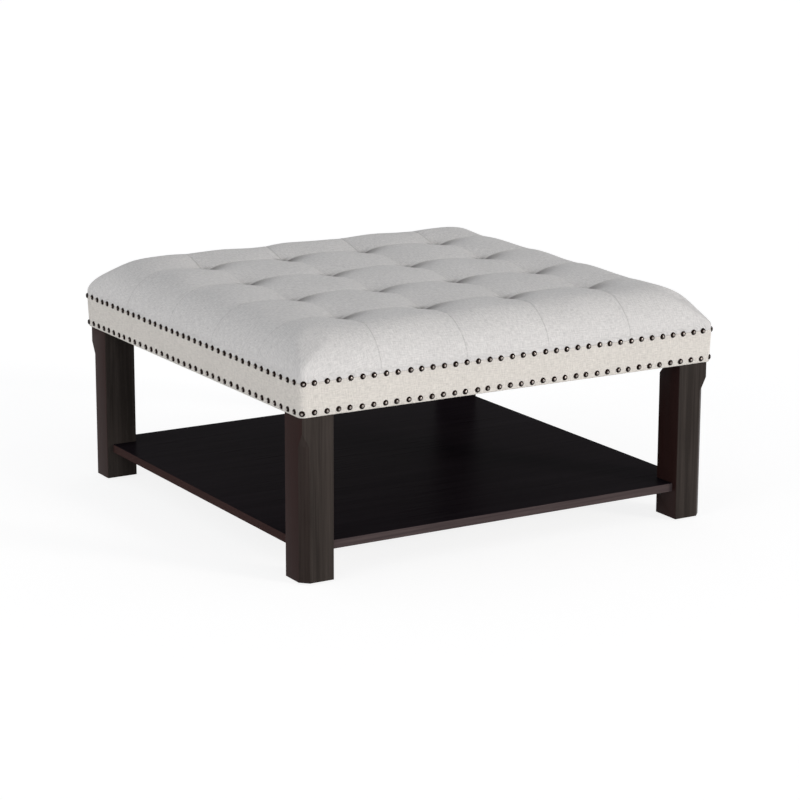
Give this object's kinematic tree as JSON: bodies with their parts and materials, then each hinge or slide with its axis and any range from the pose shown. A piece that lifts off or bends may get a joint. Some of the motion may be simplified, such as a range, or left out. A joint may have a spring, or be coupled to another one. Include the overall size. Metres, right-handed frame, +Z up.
{
  "type": "ottoman coffee table",
  "caption": "Square ottoman coffee table: tufted linen top with nailhead-trimmed band on square dark legs, with an open shelf below.",
  "frame": {"origin": "on the floor under the middle of the top", "axes": "+Z up through the middle of the top, +X along the front, the front faces -Y"},
  "size_m": [0.9214, 0.9212, 0.4572],
  "materials": {
    "cushion_linen": "matt woven linen, pale greige",
    "band_linen": "matt woven linen, pale greige",
    "foam": "open-cell upholstery foam",
    "twine": "waxed tufting twine",
    "plywood": "raw plywood",
    "softwood": "raw sawn pine",
    "zinc_steel": "zinc plated",
    "black_steel": "black powder coat",
    "stained_leg": "dark espresso stain, satin lacquer",
    "stained_shelf": "dark espresso stain, semi-gloss lacquer",
    "dust_cloth": "black non-woven cloth",
    "aged_bronze": "domed, dark antiqued bronze",
    "glide_plastic": "moulded plastic"
  },
  "bodies": {
    "root": {"apron_cover": "band_linen", "bolt_nuts": "zinc_steel", "bolt_washers": "zinc_steel", "bracket_screws": "zinc_steel", "centre_rail": "softwood", "corner_block_back_left": "softwood", "corner_block_back_right": "softwood", "corner_block_front_left": "softwood", "corner_block_front_right": "softwood", "corner_block_screws": "zinc_steel", "cushion_cover": "cushion_linen", "deck": "plywood", "dust_cover": "dust_cloth", "foam_slab": "foam", "glide_back_left": "glide_plastic", "glide_back_right": "glide_plastic", "glide_front_left": "glide_plastic", "glide_front_right": "glide_plastic", "hanger_bolts": "zinc_steel", "leg_back_left": "stained_leg", "leg_back_right": "stained_leg", "leg_front_left": "stained_leg", "leg_front_right": "stained_leg", "nails_lower": "aged_bronze", "nails_upper": "aged_bronze", "rail_back": "softwood", "rail_front": "softwood", "rail_left": "softwood", "rail_right": "softwood", "shelf": "stained_shelf", "shelf_bracket_back_left": "black_steel", "shelf_bracket_back_right": "black_steel", "shelf_bracket_front_left": "black_steel", "shelf_bracket_front_right": "black_steel", "tuft_ties": "twine"}
  },
  "joints": []
}
